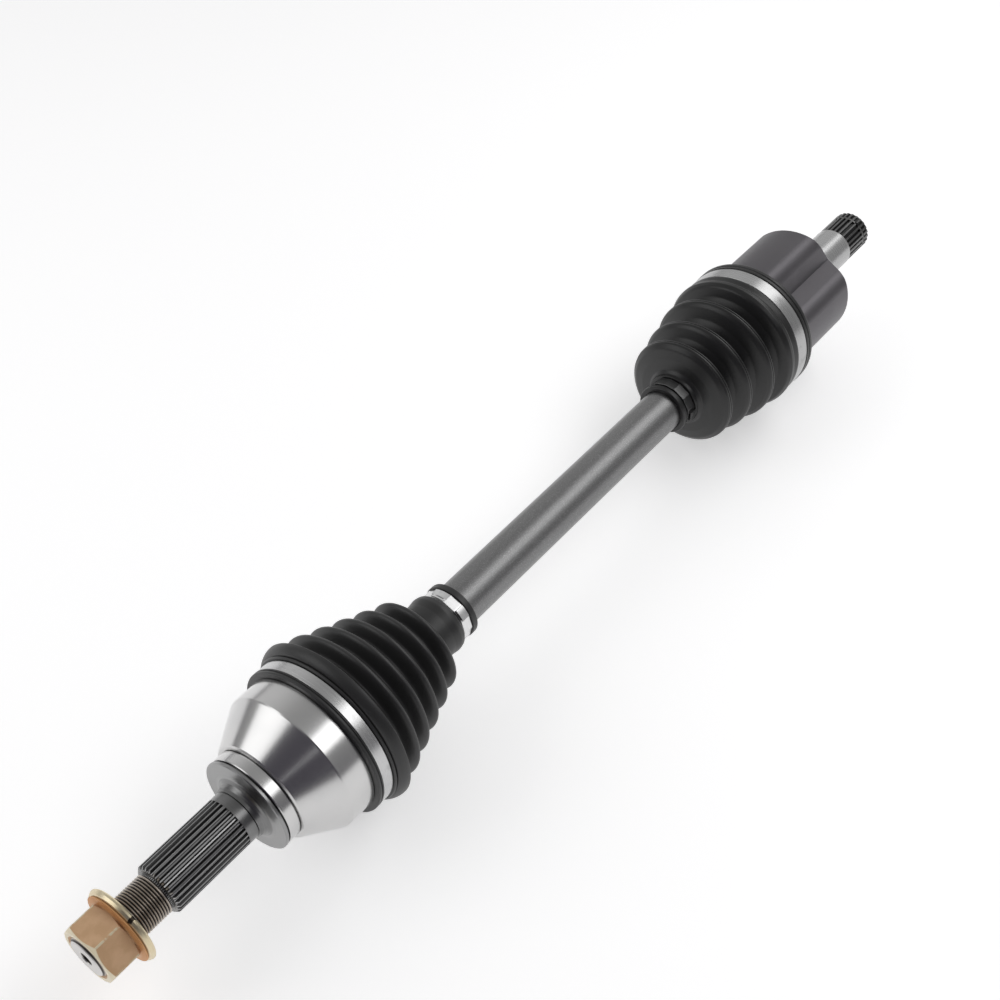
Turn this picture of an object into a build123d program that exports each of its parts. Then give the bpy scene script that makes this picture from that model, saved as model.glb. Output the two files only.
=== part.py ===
"""Front-wheel-drive CV axle: fixed ball joint, axle bar and sliding tripod joint.

Every length is in millimetres. The origin is the centre of the hub shoulder face on
the shaft axis, +X runs along the bar towards the gearbox end, and +Z is up.
"""
import os
from math import cos, pi, radians, sin, sqrt, tan

from build123d import *

# ---- Driving dimensions: hub stub and axle nut -------------------------------------
STUB_END_X = -105.0          # free end of the threaded stub
THREAD_R = 12.0              # M24 x 1.5
THREAD_PITCH = 1.5
THREAD_INNER_X = -62.0       # inboard end of the thread
HUB_SPLINE_R = 14.8
HUB_SPLINE_ROOT_R = 13.6
HUB_SPLINE_TEETH = 28
HUB_SPLINE_X = (-60.0, -12.0)
HUB_JOURNAL_R = 14.9
HUB_JOURNAL_X = (-12.0, -6.0)
SHOULDER_R = 28.4
NUT_FLATS = 32.0
NUT_X = (-104.0, -85.0)
WASHER_X = (-85.0, -81.0)
WASHER_R = 22.0
NUT_PHASE = 117.0            # angle of one corner of the hexagon
NUT_SPIGOT_R = 15.2

# ---- Fixed ball joint at the hub ---------------------------------------------------
HUB_JOINT_X = 37.0           # joint centre
BALL_R = 8.4
BALL_PITCH_R = 28.0
BALL_COUNT = 6
BALL_GROOVE_PLAY = 1.25      # the balls wander sideways in straight-cut grooves
CAGE_OUTER_R = 31.6
CAGE_INNER_R = 25.7
CAGE_HALF_WIDTH = 12.5
RACE_R = 25.64
RACE_HALF_WIDTH = 11.0
SPHERE_FIT = 0.06            # running clearance between the spherical faces
BELL_R = 43.6
BELL_END_X = 58.0
BELL_MOUTH_R = 38.5

# ---- Axle bar ----------------------------------------------------------------------
BAR_R = 13.75
HUB_NECK_R = 12.4
HUB_NECK_END_X = 78.0
GEARBOX_NECK_R = 12.0
GEARBOX_NECK_START_X = 438.0
NECK_TAPER = 10.0

# ---- Sliding tripod joint at the gearbox -------------------------------------------
TRIPOD_X = 500.0             # joint centre
TRIPOD_PHASE = 66.0          # angle of the first trunnion, from +Y towards +Z
TRIPOD_PITCH_R = 24.5        # roller centre radius
ROLLER_R = 17.0
ROLLER_HALF_WIDTH = 6.0
TRUNNION_R = 8.6
TRUNNION_END_R = 32.8
NEEDLE_R = 1.09
NEEDLE_PITCH_R = 9.75
NEEDLE_COUNT = 26
SPIDER_HUB_R = 17.4
SPIDER_HALF_WIDTH = 10.0
SPIDER_BORE_R = 11.05
TRACK_HALF_WIDTH = 17.9
TRACK_OUTER_R = 35.6
HOUSING_LOBE_R = 40.0
HOUSING_LOBE_HALF_WIDTH = 24.2
LOBE_CORNER_R = 12.0
HOUSING_MOUTH_X = 462.0
ADAPTER_X = (463.0, 480.6)
MOUTH_LAND_FLUTE_R = 35.4    # housing mouth between the lobes
HOUSING_FLOOR_X = 541.0
HOUSING_BACK_X = 556.0       # foot of the stub, past the hollow back of the lobes
LOBE_END_X = 543.0           # back rim of the lobes
RIDGE_R = 23.7               # inner ridges between the tracks
RIDGE_MOUTH_R = 30.6
RIDGE_FLARE = 22.0
GEARBOX_JOURNAL_R = 14.25
GEARBOX_JOURNAL_X = (566.0, 592.0)
GEARBOX_SPLINE_R = 14.0
GEARBOX_SPLINE_ROOT_R = 12.7
GEARBOX_SPLINE_TEETH = 25
GEARBOX_SPLINE_X = (592.0, 620.0)
STUB_RING_X = 612.0
STUB_RING_WIDTH = 1.6

# ---- Boots and clamps --------------------------------------------------------------
BOOT_WALL = 2.6
COLLAR_GAP = 0.3             # boots and clamps on different bodies never touch
SEAT_R = 42.6                # boot seats on the bell and on the adapter
HUB_BOOT_X = (48.5, 165.5)
HUB_CUFF_R = 46.1            # boot under the large clamp
HUB_LIP_R = 47.4
HUB_BOOT_SHOULDER = ((59.4, 47.6), (61.2, 50.2), (63.6, 51.6), (67.0, 52.1))
HUB_BOOT_CRESTS = 6
HUB_BOOT_PITCH = 12.84
HUB_BOOT_CREST_DROP = 4.5
HUB_BOOT_FOLD_DEPTH = 6.2
HUB_COLLAR_NECK = (138.0, 18.0)
HUB_COLLAR_BULGE = (149.5, 18.6)
HUB_COLLAR_R = 15.3          # boot under the small clamp
SMALL_LIP_R = 17.2
GEARBOX_BOOT_X = (374.0, 481.5)
GEARBOX_COLLAR_R = 16.0
GEARBOX_FRONT_FACE = ((390.8, 20.2), (391.6, 26.0), (392.6, 32.6), (393.8, 35.2), (395.6, 36.5))
GEARBOX_BOOT_CRESTS = ((398.0, 36.9), (416.0, 40.4), (436.5, 44.5), (457.0, 47.5))
GEARBOX_BOOT_VALLEYS = ((406.5, 31.0), (425.5, 34.6), (446.0, 38.6))
GEARBOX_CUFF_R = 45.5
GEARBOX_LIP_R = 47.2
CLAMP_WALL = 1.15
HUB_CLAMP_X = (52.0, 58.6)
GEARBOX_CLAMP_X = (464.5, 474.5)
BIG_EAR = (9.0, 3.9)         # length round the band and height
SMALL_CLAMP_WALL = 0.8
HUB_SMALL_CLAMP_X = (154.5, 161.0)
GEARBOX_SMALL_CLAMP_X = (378.8, 385.6)
SMALL_EAR = (7.0, 3.6)
LIP_GAP = 0.4                # between a clamp and the lip beside it
BIG_EAR_ANGLE = -35.0
SMALL_EAR_ANGLE = 150.0


# ---- Snap rings and seats on the bar, worked out from the joint centres --------------
RACE_RING_X = {
    "inner_race_circlip": (HUB_JOINT_X - RACE_HALF_WIDTH - 1.7, HUB_JOINT_X - RACE_HALF_WIDTH - 0.1),
    "inner_race_stop_ring": (HUB_JOINT_X + RACE_HALF_WIDTH + 0.1, HUB_JOINT_X + RACE_HALF_WIDTH + 1.7)}
SPIDER_RING_X = {
    "spider_inner_circlip": (TRIPOD_X - SPIDER_HALF_WIDTH - 1.7, TRIPOD_X - SPIDER_HALF_WIDTH - 0.1),
    "spider_outer_circlip": (TRIPOD_X + SPIDER_HALF_WIDTH + 0.1, TRIPOD_X + SPIDER_HALF_WIDTH + 1.7)}
BAR_RING_DEPTH = 1.3
HUB_END_X = HUB_JOINT_X - RACE_HALF_WIDTH - 3.4
GEARBOX_END_X = TRIPOD_X + SPIDER_HALF_WIDTH + 3.4
SPIDER_SEAT_R = SPIDER_BORE_R - 0.04
SPIDER_SEAT_X = TRIPOD_X - SPIDER_HALF_WIDTH - 3.4


def turned(points):
    """Solid of revolution about X from a closed outline of (x, radius) points."""
    outline = [points[0]]
    for point in points[1:]:
        if point != outline[-1]:
            outline.append(point)
    return revolve(make_face(Polyline(*outline, close=True)), Axis.X, 360)


def tube(x_range, outer_r, inner_r):
    """Plain ring between two axial positions."""
    x0, x1 = x_range
    return turned([(x0, inner_r), (x1, inner_r), (x1, outer_r), (x0, outer_r)])


def rod(x_range, radius):
    """Plain round bar on the axis."""
    x0, x1 = x_range
    return turned([(x0, 0), (x1, 0), (x1, radius), (x0, radius)])


def radial_place(x, radius, angle):
    """Location at a radius from the axis, with local Z pointing outwards."""
    a = radians(angle)
    outward = Vector(0, cos(a), sin(a))
    return Plane(origin=Vector(x, radius * cos(a), radius * sin(a)), x_dir=(1, 0, 0), z_dir=outward)


def spin(shape, angle):
    """Turn a shape about the shaft axis."""
    return Rot(angle, 0, 0) * shape


def toothed_rod(x_range, tip_r, root_r, teeth):
    """Splined rod: straight-sided teeth, each tip a third of the pitch wide."""
    x0, x1 = x_range
    pitch = 360.0 / teeth
    points = []
    for i in range(teeth):
        for radius, offset in ((root_r, -0.36), (tip_r, -0.17), (tip_r, 0.17), (root_r, 0.36)):
            a = radians((i + offset) * pitch)
            points.append((radius * cos(a), radius * sin(a)))
    section = Plane(origin=(x0, 0, 0), x_dir=(0, 1, 0), z_dir=(1, 0, 0)) * make_face(Polyline(*points,
        close=True))
    return extrude(section, x1 - x0)


def spline_section(x_range, tip_r, root_r, teeth, chamfers):
    """Splined rod with its teeth chamfered down to the root at one or both ends."""
    x0, x1 = x_range
    drop = tip_r - root_r + 0.2
    lead, trail = (drop if on else 0 for on in chamfers)
    envelope = turned([
        (x0, 0), (x1, 0), (x1, tip_r + 0.1 - trail), (x1 - trail, tip_r + 0.1),
        (x0 + lead, tip_r + 0.1), (x0, tip_r + 0.1 - lead)])
    return toothed_rod(x_range, tip_r, root_r, teeth) & envelope


def thread_outline():
    """Outline of the stub thread: 60 degree ridges, one for each pitch."""
    depth = 0.61 * THREAD_PITCH
    points = [(STUB_END_X, 0), (STUB_END_X, THREAD_R - 1.6), (STUB_END_X + 1.6, THREAD_R)]
    turns = int((THREAD_INNER_X - STUB_END_X - 2.5) / THREAD_PITCH)
    for i in range(turns):
        x = STUB_END_X + 2.2 + i * THREAD_PITCH
        points += [(x, THREAD_R), (x + 0.6, THREAD_R - depth), (x + 0.75, THREAD_R - depth), (x + 1.35,
            THREAD_R)]
    points += [(THREAD_INNER_X, THREAD_R), (THREAD_INNER_X, 0)]
    return points


def bell_outline():
    """Outline of the joint bell from the shoulder face to the open end."""
    return [
        (HUB_JOURNAL_X[1] - 0.5, 0), (HUB_JOURNAL_X[1] - 0.5, HUB_JOURNAL_R - 0.5),
        (HUB_JOURNAL_X[1] + 0.1, HUB_JOURNAL_R - 0.5), (HUB_JOURNAL_X[1] + 0.4, HUB_JOURNAL_R + 0.6),
        (-3.8, HUB_JOURNAL_R + 0.8), (-2.6, HUB_JOURNAL_R + 1.2), (-1.5, HUB_JOURNAL_R + 2.0),
        (-0.7, HUB_JOURNAL_R + 3.2), (-0.2, HUB_JOURNAL_R + 4.6), (0, HUB_JOURNAL_R + 6.0),
        (0, SHOULDER_R - 0.5), (0.5, SHOULDER_R), (1.7, SHOULDER_R), (2.1, SHOULDER_R - 0.4),
        (2.1, SHOULDER_R - 1.8), (3.1, SHOULDER_R - 1.8), (3.1, SHOULDER_R - 0.5), (3.5, SHOULDER_R - 0.2),
        (9.8, SHOULDER_R - 0.2), (10.0, SHOULDER_R - 0.4), (10.0, SHOULDER_R - 0.9), (10.4,
        SHOULDER_R - 0.9),
        (10.4, SHOULDER_R + 1.6), (11.2, SHOULDER_R + 2.5), (32.0, BELL_R - 0.3), (32.8, BELL_R),
        (HUB_BOOT_X[0] - 0.4, BELL_R), (HUB_BOOT_X[0] - 0.2, SEAT_R),
        (HUB_CLAMP_X[0] + 1.5, SEAT_R), (HUB_CLAMP_X[0] + 2.1, SEAT_R - 1.0), (HUB_CLAMP_X[1] - 3.1,
        SEAT_R - 1.0),
        (HUB_CLAMP_X[1] - 2.5, SEAT_R), (BELL_END_X - 0.8, SEAT_R), (BELL_END_X, SEAT_R - 0.8),
        (BELL_END_X, 0)]


def bell_cavity():
    """Hollow of the bell: a sphere for the cage, flat at the back and flared at the mouth."""
    sphere_r = CAGE_OUTER_R + SPHERE_FIT
    back_x, flare_x = HUB_JOINT_X - 26.2, HUB_JOINT_X + 8.0
    past_end = BELL_END_X + 1.0
    back, crown, lip = (
        (x, sqrt(sphere_r ** 2 - (x - HUB_JOINT_X) ** 2)) for x in (back_x, HUB_JOINT_X - 6.0, flare_x))
    outline = [
        Polyline((past_end, 0), (back_x, 0), back),
        ThreePointArc(back, crown, lip),
        Polyline(lip, (BELL_END_X, BELL_MOUTH_R), (past_end, BELL_MOUTH_R), (past_end, 0))]
    return revolve(make_face(outline), Axis.X, 360)


def ball_groove(angle, start, sweep):
    """Ball track: a round groove swept about the joint centre in one meridian plane."""
    section = Plane(origin=(HUB_JOINT_X, BALL_PITCH_R, 0), x_dir=(0, 1, 0), z_dir=(1, 0, 0))
    circle = section * Circle(BALL_R + BALL_GROOVE_PLAY)
    hinge = Axis((HUB_JOINT_X, 0, 0), (0, 0, 1))
    groove = revolve(circle.rotate(hinge, -start), hinge, -sweep)
    return spin(groove, angle)


def ball_angles():
    """Ball positions about the axis, with the first ball straight up."""
    return [90.0 + i * 360.0 / BALL_COUNT for i in range(BALL_COUNT)]


def outboard_housing():
    """Hub stub and bell, one forging."""
    body = turned(bell_outline()) + turned(thread_outline())
    body += rod((THREAD_INNER_X - 0.5, HUB_SPLINE_X[0] + 0.5), THREAD_R - 1.1)
    body += spline_section(HUB_SPLINE_X, HUB_SPLINE_R, HUB_SPLINE_ROOT_R, HUB_SPLINE_TEETH, (True, False))
    body += rod((HUB_JOURNAL_X[0], HUB_JOURNAL_X[1]), HUB_JOURNAL_R)
    centre_drill = turned([
        (STUB_END_X - 1, 0), (STUB_END_X + 9, 0), (STUB_END_X + 8, 1.6), (STUB_END_X + 4.2, 1.6),
        (STUB_END_X - 1, 4.8)])
    body -= centre_drill
    body -= bell_cavity()
    for angle in ball_angles():
        body -= ball_groove(angle, -43.0, 118.0)
    return body


def axle_nut():
    """Hexagon nut with a conical collar and a spigot that holds the washer captive."""
    x0, x1 = NUT_X
    across = Plane(origin=(x0, 0, 0), x_dir=(0, 1, 0), z_dir=(1, 0, 0))
    hexagon = across * Rot(0, 0, NUT_PHASE) * RegularPolygon(NUT_FLATS / sqrt(3), 6)
    corner_r = NUT_FLATS / sqrt(3)
    chamfer_r = NUT_FLATS / 2 - 0.4
    chamfer = tan(radians(30)) * (corner_r - chamfer_r)
    hex_end = x1 - 1.5
    envelope = turned([
        (x0, 0), (hex_end, 0), (hex_end, chamfer_r), (hex_end - chamfer, corner_r + 0.01),
        (x0 + chamfer, corner_r + 0.01), (x0, chamfer_r)])
    collar = turned([
        (hex_end - 0.5, 0), (x1, 0), (x1, WASHER_R - 1.6), (x1 - 0.6, WASHER_R - 1.6),
        (hex_end - 0.5, chamfer_r - 0.1)])
    spigot = rod((x1 - 1, WASHER_X[1] - 1.2), NUT_SPIGOT_R)
    nut = (extrude(hexagon, x1 - x0) & envelope) + collar + spigot
    nut -= rod((x0 - 1, x1 + 10), THREAD_R + 0.06)
    nut -= turned([(x0 - 1, 0), (x0 + 1.2, 0), (x0 + 1.2, THREAD_R), (x0 - 0.01, THREAD_R + 1.3),
        (x0 - 1, THREAD_R + 1.3)])
    return nut


def axle_nut_washer():
    """Thick captive washer that turns freely on the nut's spigot."""
    x0, x1 = WASHER_X
    bore = NUT_SPIGOT_R + 0.08
    return turned([
        (x0 + 0.12, bore), (x0 + 0.12, WASHER_R - 2.2), (x0 + 0.8, WASHER_R - 0.7), (x0 + 2.2, WASHER_R),
        (x1 - 0.8, WASHER_R), (x1, WASHER_R - 0.8), (x1, bore)])


def ball_cage():
    """Spherical cage with one window for each ball."""
    shell = Pos(HUB_JOINT_X, 0, 0) * (Sphere(CAGE_OUTER_R) - Sphere(CAGE_INNER_R))
    shell &= rod((HUB_JOINT_X - CAGE_HALF_WIDTH, HUB_JOINT_X + CAGE_HALF_WIDTH), 60)
    for angle in ball_angles():
        place = radial_place(HUB_JOINT_X, BALL_PITCH_R, angle)
        shell -= place * Box(2 * BALL_R + 0.06, 2 * BALL_R + 2.0, 30)
    return shell


def ball(angle):
    """One steel ball at its place about the axis."""
    return radial_place(HUB_JOINT_X, BALL_PITCH_R, angle) * Sphere(BALL_R)


def outboard_inner_race():
    """Star-shaped inner race on the bar's splined end."""
    race = Pos(HUB_JOINT_X, 0, 0) * Sphere(RACE_R)
    race &= rod((HUB_JOINT_X - RACE_HALF_WIDTH, HUB_JOINT_X + RACE_HALF_WIDTH), 60)
    race -= rod((HUB_JOINT_X - 20, HUB_JOINT_X + 20), HUB_NECK_R + 0.04)
    for angle in ball_angles():
        race -= ball_groove(angle, -60.0, 120.0)
    return race


def ring_groove(x_range, outer_r, depth):
    """Cutter for a retaining ring groove in a round bar."""
    return tube(x_range, outer_r + 1, outer_r - depth)


def open_ring(x_range, outer_r, inner_r, gap_angle, gap):
    """Snap ring with a gap of the given width."""
    ring = tube(x_range, outer_r, inner_r)
    middle = (x_range[0] + x_range[1]) / 2
    cutter = radial_place(middle, (outer_r + inner_r) / 2, gap_angle) * Box(20, gap, outer_r)
    return ring - cutter


def axle_bar():
    """Solid bar, necked and splined at both ends, with grooves for its snap rings."""
    bar = turned([
        (HUB_END_X, 0), (HUB_END_X, HUB_NECK_R - 1.5), (HUB_END_X + 1.5, HUB_NECK_R), (HUB_NECK_END_X,
        HUB_NECK_R),
        (HUB_NECK_END_X + NECK_TAPER, BAR_R), (GEARBOX_NECK_START_X - NECK_TAPER, BAR_R),
        (GEARBOX_NECK_START_X, GEARBOX_NECK_R), (SPIDER_SEAT_X - 2, GEARBOX_NECK_R), (SPIDER_SEAT_X,
        SPIDER_SEAT_R),
        (GEARBOX_END_X - 1.5, SPIDER_SEAT_R), (GEARBOX_END_X, SPIDER_SEAT_R - 1.5), (GEARBOX_END_X, 0)])
    for x_range in RACE_RING_X.values():
        bar -= ring_groove(x_range, HUB_NECK_R, BAR_RING_DEPTH)
    for x_range in SPIDER_RING_X.values():
        bar -= ring_groove(x_range, SPIDER_SEAT_R, BAR_RING_DEPTH)
    return bar


def bar_ring(x_range, shaft_r):
    """Snap ring seated in one of the bar's grooves."""
    x0, x1 = x_range
    return open_ring((x0 + 0.05, x1 - 0.05), shaft_r + 1.6, shaft_r - BAR_RING_DEPTH + 0.05, 0, 3)


def trunnion_angles():
    """Angles of the three trunnions about the shaft axis."""
    return [TRIPOD_PHASE + i * 120.0 for i in range(3)]


TRUNNION_RING_R = (31.35, 32.15)


def tripod_spider():
    """Hub with three trunnions, each grooved for its retaining ring."""
    spider = rod((TRIPOD_X - SPIDER_HALF_WIDTH, TRIPOD_X + SPIDER_HALF_WIDTH), SPIDER_HUB_R)
    for angle in trunnion_angles():
        root = radial_place(TRIPOD_X, 0, angle)
        spider += root * Pos(0, 0, TRUNNION_END_R / 2) * Cylinder(TRUNNION_R, TRUNNION_END_R)
        groove = Pos(0, 0, sum(TRUNNION_RING_R) / 2) * Cylinder(20, TRUNNION_RING_R[1] - TRUNNION_RING_R[0])
        groove -= Cylinder(TRUNNION_R - 0.9, 100)
        spider -= root * groove
    spider -= rod((TRIPOD_X - 20, TRIPOD_X + 20), SPIDER_BORE_R)
    return spider


def roller(angle):
    """Barrel-faced roller of one trunnion."""
    place = radial_place(TRIPOD_X, TRIPOD_PITCH_R, angle)
    barrel = Sphere(ROLLER_R) & Box(60, 60, 2 * ROLLER_HALF_WIDTH)
    bore_r = NEEDLE_PITCH_R + NEEDLE_R + 0.06
    return place * (barrel - Cylinder(bore_r, 40))


def needle_set(angle):
    """Full set of needle rollers around one trunnion, each a separate solid."""
    place = radial_place(TRIPOD_X, TRIPOD_PITCH_R, angle)
    needles = []
    for i in range(NEEDLE_COUNT):
        a = radians(i * 360.0 / NEEDLE_COUNT)
        centre = Pos(NEEDLE_PITCH_R * cos(a), NEEDLE_PITCH_R * sin(a), 0)
        needles.append(place * centre * Cylinder(NEEDLE_R, 2 * ROLLER_HALF_WIDTH - 0.6))
    return Compound(children=needles)


def roller_retainer(angle):
    """Flat washer that keeps the needles and the roller on one trunnion."""
    low = TRIPOD_PITCH_R + ROLLER_HALF_WIDTH + 0.1
    high = TRUNNION_RING_R[0] - 0.02
    washer = Cylinder(12.2, high - low) - Cylinder(TRUNNION_R + 0.04, 10)
    return radial_place(TRIPOD_X, (low + high) / 2, angle) * washer


def retainer_circlip(angle):
    """Round snap ring in the trunnion groove, outside the retainer."""
    low, high = TRUNNION_RING_R
    ring = Cylinder(TRUNNION_R + 1.2, high - low - 0.06) - Cylinder(TRUNNION_R - 0.85, 10)
    ring -= Pos(TRUNNION_R, 0, 0) * Box(6, 3, 5)
    return radial_place(TRIPOD_X, (low + high) / 2, angle) * ring


def lobed_prism(x_range, lobe_r, half_width, corner):
    """Three-lobed bar: a lobe over each trunnion, with V-shaped flutes between them."""
    x0, x1 = x_range
    face = Plane(origin=(x0, 0, 0), x_dir=(0, 1, 0), z_dir=(1, 0, 0))
    section = None
    for angle in trunnion_angles():
        lobe = Rot(0, 0, angle) * Pos(lobe_r / 2, 0, 0) * Rectangle(lobe_r, 2 * half_width)
        section = lobe if section is None else section + lobe
    section += Rot(0, 0, TRIPOD_PHASE) * RegularPolygon(half_width / sin(radians(60)), 6)
    prism = extrude(face * section, x1 - x0)
    prism &= rod((x0 - 1, x1 + 1), lobe_r)
    if corner:
        edges = prism.edges().filter_by(Axis.X)
        outer = [e for e in edges if Vector(0, e.center().Y, e.center().Z).length > lobe_r - 1]
        prism = fillet(outer, corner)
    return prism


def roller_tracks():
    """Three straight-sided roller tracks joined in the middle, flared at the mouth."""
    x0 = HOUSING_MOUTH_X - 1
    tracks = lobed_prism((x0, HOUSING_FLOOR_X), TRACK_OUTER_R, TRACK_HALF_WIDTH, 0)
    tracks += rod((x0, HOUSING_FLOOR_X - 3), RIDGE_R)
    tracks += turned([
        (x0, 0), (HOUSING_MOUTH_X + RIDGE_FLARE, 0), (HOUSING_MOUTH_X + RIDGE_FLARE, RIDGE_R),
        (HOUSING_MOUTH_X, RIDGE_MOUTH_R), (x0, RIDGE_MOUTH_R)])
    return tracks


def inboard_housing():
    """Three-lobed tripod housing with its gearbox stub, one forging."""
    lobes = lobed_prism(
        (HOUSING_MOUTH_X, HOUSING_BACK_X + 6), HOUSING_LOBE_R, HOUSING_LOBE_HALF_WIDTH, LOBE_CORNER_R)
    back = HOUSING_BACK_X
    envelope = turned([
        (HOUSING_MOUTH_X, 0), (HOUSING_MOUTH_X, HOUSING_LOBE_R - 0.8),
        (HOUSING_MOUTH_X + 0.8, HOUSING_LOBE_R + 0.1), (LOBE_END_X - 1.0, HOUSING_LOBE_R + 0.1),
        (LOBE_END_X, HOUSING_LOBE_R - 0.9), (LOBE_END_X + 2.2, 35.4), (LOBE_END_X + 4.6, 31.2),
        (LOBE_END_X + 7.6, 27.2), (back - 2, 23.6), (back + 2.5, 18.6), (back + 2.5, 0)])
    body = lobes & envelope
    body += rod((HOUSING_MOUTH_X, ADAPTER_X[1]), MOUTH_LAND_FLUTE_R)
    body += turned([
        (back - 2, 0), (back - 2, 22.5), (back + 2.5, 18.6), (back + 6, 16.0), (GEARBOX_JOURNAL_X[0], 15.0),
        (GEARBOX_JOURNAL_X[0] + 0.6, GEARBOX_JOURNAL_R), (GEARBOX_JOURNAL_X[0] + 0.6, 0)])
    body += rod(GEARBOX_JOURNAL_X, GEARBOX_JOURNAL_R)
    body += spline_section(
        GEARBOX_SPLINE_X, GEARBOX_SPLINE_R, GEARBOX_SPLINE_ROOT_R, GEARBOX_SPLINE_TEETH, (False, True))
    ring_x = (STUB_RING_X - STUB_RING_WIDTH / 2, STUB_RING_X + STUB_RING_WIDTH / 2)
    body -= ring_groove(ring_x, GEARBOX_SPLINE_R, 2.4)
    end_x = GEARBOX_SPLINE_X[1]
    body -= turned([(end_x + 1, 0), (end_x - 8, 0), (end_x - 7, 1.6), (end_x - 3.8, 1.6), (end_x + 1, 4.6)])
    body -= roller_tracks()
    return body


def stub_retaining_ring():
    """Snap ring that holds the gearbox stub in the differential side gear."""
    x_range = (STUB_RING_X - STUB_RING_WIDTH / 2 + 0.05, STUB_RING_X + STUB_RING_WIDTH / 2 - 0.05)
    return open_ring(x_range, GEARBOX_SPLINE_R - 0.2, GEARBOX_SPLINE_R - 2.35, 118, 3.5)


def boot_adapter():
    """Bushing that makes the lobed housing mouth round for the boot."""
    ring = tube(ADAPTER_X, SEAT_R, MOUTH_LAND_FLUTE_R - 4)
    hole = lobed_prism(
        (ADAPTER_X[0] - 1, ADAPTER_X[1] + 1), HOUSING_LOBE_R + 0.06, HOUSING_LOBE_HALF_WIDTH + 0.06,
        LOBE_CORNER_R)
    return ring - hole - rod((ADAPTER_X[0] - 1, ADAPTER_X[1] + 1), MOUTH_LAND_FLUTE_R + 0.06)


def boot_shell(outer, inner):
    """Boot wall between an outer and an inner outline, each a smooth run of points."""
    start = Line(Vector(*inner[0]), Vector(*outer[0]))
    end = Line(Vector(*outer[-1]), Vector(*inner[-1]))
    wall = make_face([start, Polyline(*outer), end, Polyline(*inner[::-1])])
    return revolve(wall, Axis.X, 360)


def wave(points, steps):
    """Half-cosine waves through crest and valley points."""
    line = []
    for (x0, r0), (x1, r1) in zip(points, points[1:]):
        for i in range(steps):
            t = i / steps
            line.append((x0 + (x1 - x0) * t, r0 + (r1 - r0) * (1 - cos(t * pi)) / 2))
    line.append(points[-1])
    return line


def lip_and_seat(x0, x1, lip_r, seat_r):
    """Outline of a boot's end lip and the clamp seat that follows it, from x0 towards x1."""
    way = 1 if x1 > x0 else -1
    lip_x = x1 - way * LIP_GAP
    return [
        (x0, lip_r - 0.6), (x0 + way * 0.6, lip_r), (lip_x - way * 0.6, lip_r), (lip_x - way * 0.1,
        lip_r - 0.6),
        (lip_x, seat_r)]


def outboard_boot():
    """Six-fold hub boot from the bell down to the bar."""
    folds = [HUB_BOOT_SHOULDER[-1]]
    x, r = folds[0]
    for i in range(HUB_BOOT_CRESTS - 1):
        valley_r = r - HUB_BOOT_CREST_DROP / 2 - HUB_BOOT_FOLD_DEPTH
        folds += [(x + HUB_BOOT_PITCH / 2, valley_r), (x + HUB_BOOT_PITCH, r - HUB_BOOT_CREST_DROP)]
        x, r = folds[-1]
    folds += [HUB_COLLAR_NECK, HUB_COLLAR_BULGE]
    skin = list(HUB_BOOT_SHOULDER[:-1]) + wave(folds, 5)
    outer = lip_and_seat(HUB_BOOT_X[0], HUB_CLAMP_X[0], HUB_LIP_R, HUB_CUFF_R)
    outer += [(HUB_CLAMP_X[1] + LIP_GAP, HUB_CUFF_R)] + skin
    outer += [(HUB_SMALL_CLAMP_X[0] - 0.9, SMALL_LIP_R), (HUB_SMALL_CLAMP_X[0] - 0.4, HUB_COLLAR_R)]
    outer += lip_and_seat(HUB_BOOT_X[1], HUB_SMALL_CLAMP_X[1], SMALL_LIP_R, HUB_COLLAR_R)[::-1]
    bore = BAR_R + COLLAR_GAP
    inner = [(HUB_BOOT_X[0], SEAT_R + 0.05), (BELL_END_X + 0.6, SEAT_R + 0.05)]
    inner += [(px, pr - BOOT_WALL) for px, pr in skin if BELL_END_X + 2 < px < HUB_COLLAR_NECK[0]]
    inner += [(HUB_COLLAR_NECK[0] + 1, bore), (HUB_BOOT_X[1], bore)]
    return boot_shell(outer, inner)


def inboard_boot():
    """Four-fold gearbox boot from the bar up to the housing adapter."""
    folds = [GEARBOX_BOOT_CRESTS[0]]
    for crest, valley in zip(GEARBOX_BOOT_CRESTS[1:], GEARBOX_BOOT_VALLEYS):
        folds += [valley, crest]
    skin = wave(folds, 5)
    outer = lip_and_seat(GEARBOX_BOOT_X[0], GEARBOX_SMALL_CLAMP_X[0], SMALL_LIP_R, GEARBOX_COLLAR_R)
    outer += [(GEARBOX_SMALL_CLAMP_X[1] + LIP_GAP, GEARBOX_COLLAR_R), (GEARBOX_SMALL_CLAMP_X[1] + 0.6,
        SMALL_LIP_R)]
    outer += list(GEARBOX_FRONT_FACE) + skin
    outer += [(GEARBOX_CLAMP_X[0] - 2.6, GEARBOX_LIP_R - 0.6), (GEARBOX_CLAMP_X[0] - 0.6,
        GEARBOX_LIP_R - 0.6)]
    outer += [(GEARBOX_CLAMP_X[0] - LIP_GAP, GEARBOX_CUFF_R)]
    outer += lip_and_seat(GEARBOX_BOOT_X[1], GEARBOX_CLAMP_X[1], GEARBOX_LIP_R, GEARBOX_CUFF_R)[::-1]
    bore = BAR_R + COLLAR_GAP
    face_x, face_r = GEARBOX_FRONT_FACE[0]
    inner = [(GEARBOX_BOOT_X[0], bore), (face_x - BOOT_WALL, bore), (face_x + BOOT_WALL,
        face_r - BOOT_WALL)]
    inner += [(GEARBOX_FRONT_FACE[2][0] + BOOT_WALL, GEARBOX_FRONT_FACE[2][1] - BOOT_WALL / 2)]
    inner += [(px, pr - BOOT_WALL) for px, pr in skin]
    cuff = SEAT_R + COLLAR_GAP
    inner += [(ADAPTER_X[0] - 2.0, cuff), (GEARBOX_BOOT_X[1], cuff)]
    return boot_shell(outer, inner)


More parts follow.
